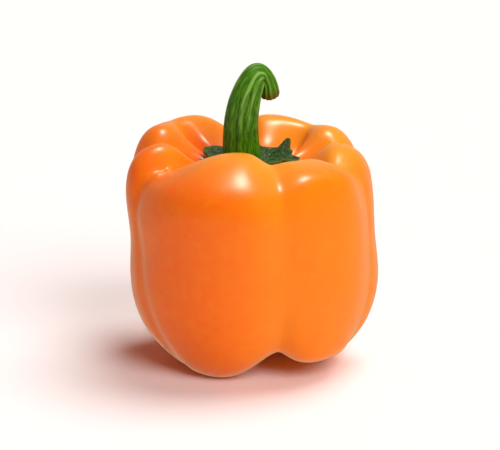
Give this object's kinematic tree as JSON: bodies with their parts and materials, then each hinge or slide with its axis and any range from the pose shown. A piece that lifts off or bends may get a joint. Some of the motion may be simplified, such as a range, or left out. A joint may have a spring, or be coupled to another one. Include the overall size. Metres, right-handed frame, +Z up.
{
  "type": "bell pepper",
  "caption": "Whole orange bell pepper standing upright, with rounded lobes, deep furrows, a blunt-tipped green calyx and a ribbed hooked stem; a fresh vegetable for food and kitchen scenes",
  "frame": {"origin": "on the surface the fruit stands on, under the middle of its width and depth, close to the middle of the hollow", "axes": "+Z up along the height of the fruit, -Y towards the front, where the broadest lobe stands, +X to the right, the way the stem's hook leans"},
  "size_m": [0.0846, 0.0866, 0.102],
  "materials": {
    "skin": "glossy waxy orange skin",
    "calyx": "dull dark green leaf",
    "stem": "satin green ribbed stalk, brown at the cut"
  },
  "bodies": {
    "root": {"fruit": "skin", "calyx": "calyx", "stem": "stem"}
  },
  "joints": []
}
